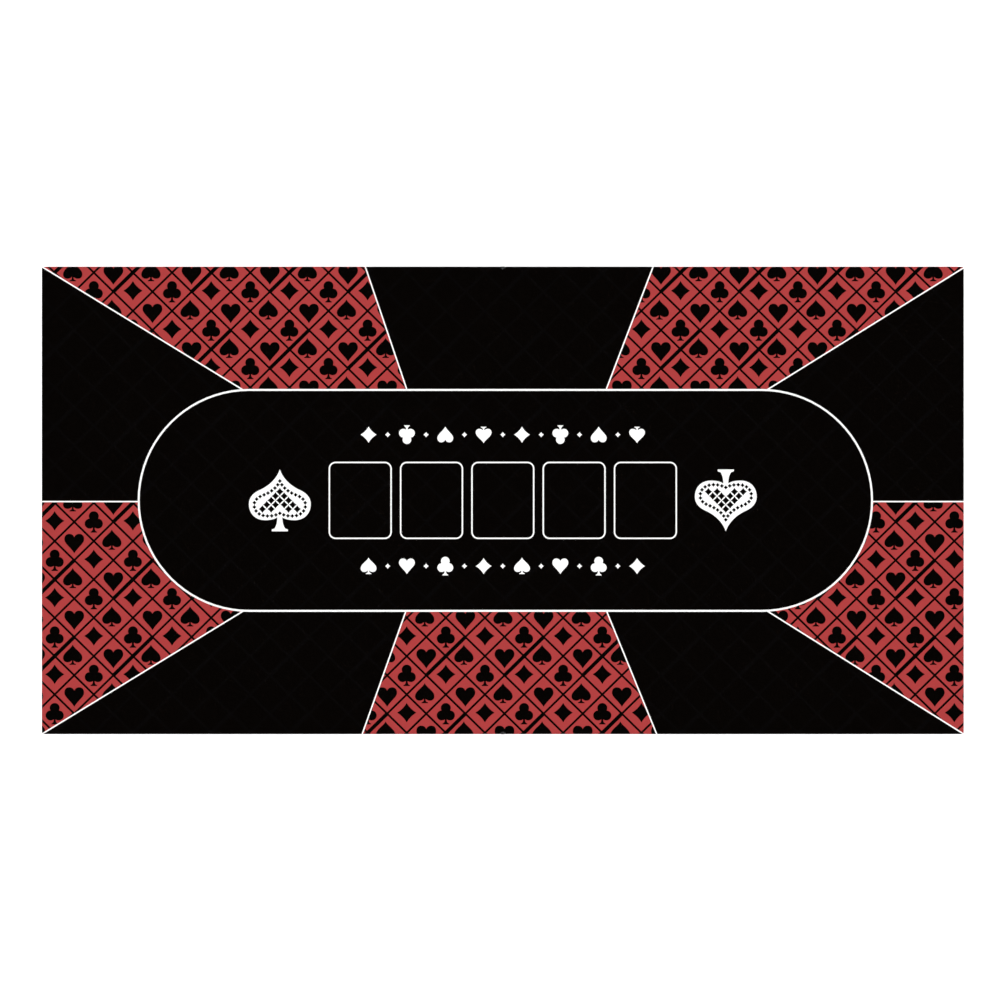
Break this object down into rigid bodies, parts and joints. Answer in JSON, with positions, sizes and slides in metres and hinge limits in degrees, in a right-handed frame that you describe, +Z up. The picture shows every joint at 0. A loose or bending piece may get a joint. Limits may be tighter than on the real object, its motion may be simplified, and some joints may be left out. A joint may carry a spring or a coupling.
{
  "type": "folding poker table top",
  "caption": "Flat rectangular card table top in printed black and red cloth, hinged across the middle to fold face to face, with swing carry handles underneath.",
  "frame": {"origin": "on the resting surface, under the middle of the fold, the feet standing on Z = 0", "axes": "+X along the length of the open top, across the fold; +Y across the width, towards the top of the printed layout; +Z up, out of the playing face"},
  "size_m": [1.8034, 0.9144, 0.03],
  "materials": {
    "board": "poplar plywood, sanded, cut edges sealed black",
    "foam": "closed-cell foam pad, matt",
    "printed_cloth": "smooth knitted polyester, dye printed",
    "backing": "spun-bonded non-woven sheet",
    "edge_band": "black edge band, fine texture",
    "staple_wire": "galvanised wire",
    "foot_rubber": "matt moulded rubber",
    "plated_steel": "bright zinc plate",
    "black_steel": "black powder coat",
    "rivet_steel": "blackened steel, satin",
    "black_screws": "black phosphate, satin",
    "nylon": "black nylon, satin",
    "handle_plastic": "black moulded nylon, fine texture",
    "grip_rubber": "soft ribbed rubber"
  },
  "bodies": {
    "left_half": {"left_board": "board", "left_foam": "foam", "left_cloth": "printed_cloth", "left_backing": "backing", "left_seam_band": "edge_band", "left_staples": "staple_wire", "left_feet": "foot_rubber", "left_foot_washers": "plated_steel", "left_foot_screws": "plated_steel", "left_handle_brackets": "black_steel", "left_handle_screws": "black_screws", "left_handle_pins": "plated_steel", "left_hinge_screws": "black_screws", "front_hinge_left_leaf": "black_steel", "back_hinge_left_leaf": "black_steel", "front_hinge_rivet": "rivet_steel", "back_hinge_rivet": "rivet_steel", "front_hinge_washer": "nylon", "back_hinge_washer": "nylon"},
    "right_half": {"right_board": "board", "right_foam": "foam", "right_cloth": "printed_cloth", "right_backing": "backing", "right_seam_band": "edge_band", "right_staples": "staple_wire", "right_feet": "foot_rubber", "right_foot_washers": "plated_steel", "right_foot_screws": "plated_steel", "right_handle_brackets": "black_steel", "right_handle_screws": "black_screws", "right_handle_pins": "plated_steel", "right_hinge_screws": "black_screws", "front_hinge_right_leaf": "black_steel", "back_hinge_right_leaf": "black_steel"},
    "left_carry_handle": {"left_handle": "handle_plastic", "left_handle_grip": "grip_rubber"},
    "right_carry_handle": {"right_handle": "handle_plastic", "right_handle_grip": "grip_rubber"}
  },
  "joints": [
    {"name": "fold", "type": "hinge", "parent": "left_half", "child": "right_half", "pos_m": [0, 0, 0.0265], "axis": [0, -1, 0], "range_deg": [0, 180]},
    {"name": "left_handle_swing", "type": "hinge", "parent": "left_half", "child": "left_carry_handle", "pos_m": [-0.8597, 0, 0.0046], "axis": [0, 1, 0], "range_deg": [0, 180]},
    {"name": "right_handle_swing", "type": "hinge", "parent": "right_half", "child": "right_carry_handle", "pos_m": [0.8597, 0, 0.0046], "axis": [0, -1, 0], "range_deg": [0, 180]}
  ]
}
